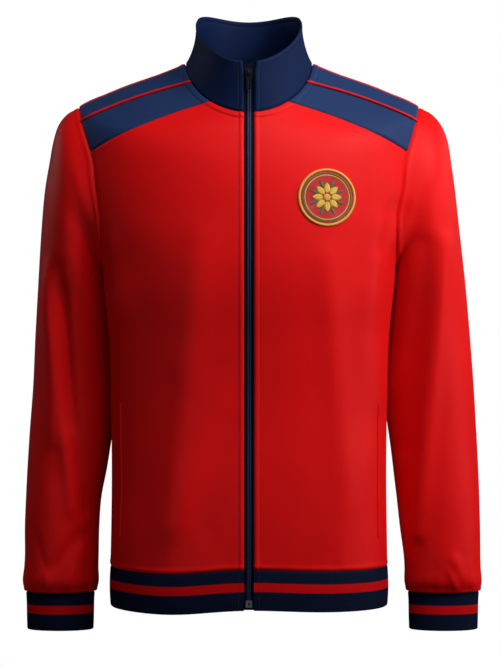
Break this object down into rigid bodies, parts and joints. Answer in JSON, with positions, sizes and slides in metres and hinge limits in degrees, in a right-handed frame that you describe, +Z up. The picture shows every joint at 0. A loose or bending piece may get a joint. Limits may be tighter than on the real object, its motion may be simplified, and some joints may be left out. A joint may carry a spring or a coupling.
{
  "type": "track jacket",
  "caption": "Full-zip track jacket with stand collar, set-in sleeves, contrast shoulder panels with piping, rib cuffs and hem band, filled out as if worn.",
  "frame": {"origin": "midway between the two high points of the shoulders, where the collar meets them", "axes": "+Z up the body, -Y towards the front with the zip, +X towards the wearer's left"},
  "size_m": [0.5945, 0.2581, 0.8013],
  "materials": {
    "red_cloth": "smooth brushed-back knit",
    "navy_cloth": "smooth brushed-back knit",
    "navy_rib": "fine rib knit with a red stripe",
    "red_piping": "corded piping",
    "zip_tape": "woven tape",
    "zip_teeth": "nylon coil",
    "zip_metal": "dark lacquer",
    "zip_steel": "dull grey"
  },
  "bodies": {
    "root": {"front_right": "red_cloth", "front_left": "red_cloth", "back": "red_cloth", "sleeve_right": "red_cloth", "sleeve_left": "red_cloth", "pocket_welt_right": "red_cloth", "pocket_welt_left": "red_cloth", "front_yoke_right": "navy_cloth", "front_yoke_left": "navy_cloth", "shoulder_strap_right": "navy_cloth", "shoulder_strap_left": "navy_cloth", "collar": "navy_cloth", "front_piping_right": "red_piping", "front_piping_left": "red_piping", "rear_piping_right": "red_piping", "rear_piping_left": "red_piping", "hem_band": "navy_rib", "cuff_right": "navy_rib", "cuff_left": "navy_rib", "zip_tape_right": "zip_tape", "zip_tape_left": "zip_tape", "zip_chain": "zip_teeth", "zip_slider": "zip_metal", "zip_box": "zip_steel"},
    "pull_tab": {"zip_pull_tab": "zip_metal"}
  },
  "joints": [
    {"name": "pull_tab_swing", "type": "hinge", "parent": "root", "child": "pull_tab", "pos_m": [0, -0.09364, -0.0255], "axis": [-1, 0, 0], "range_deg": [0, 150]}
  ]
}
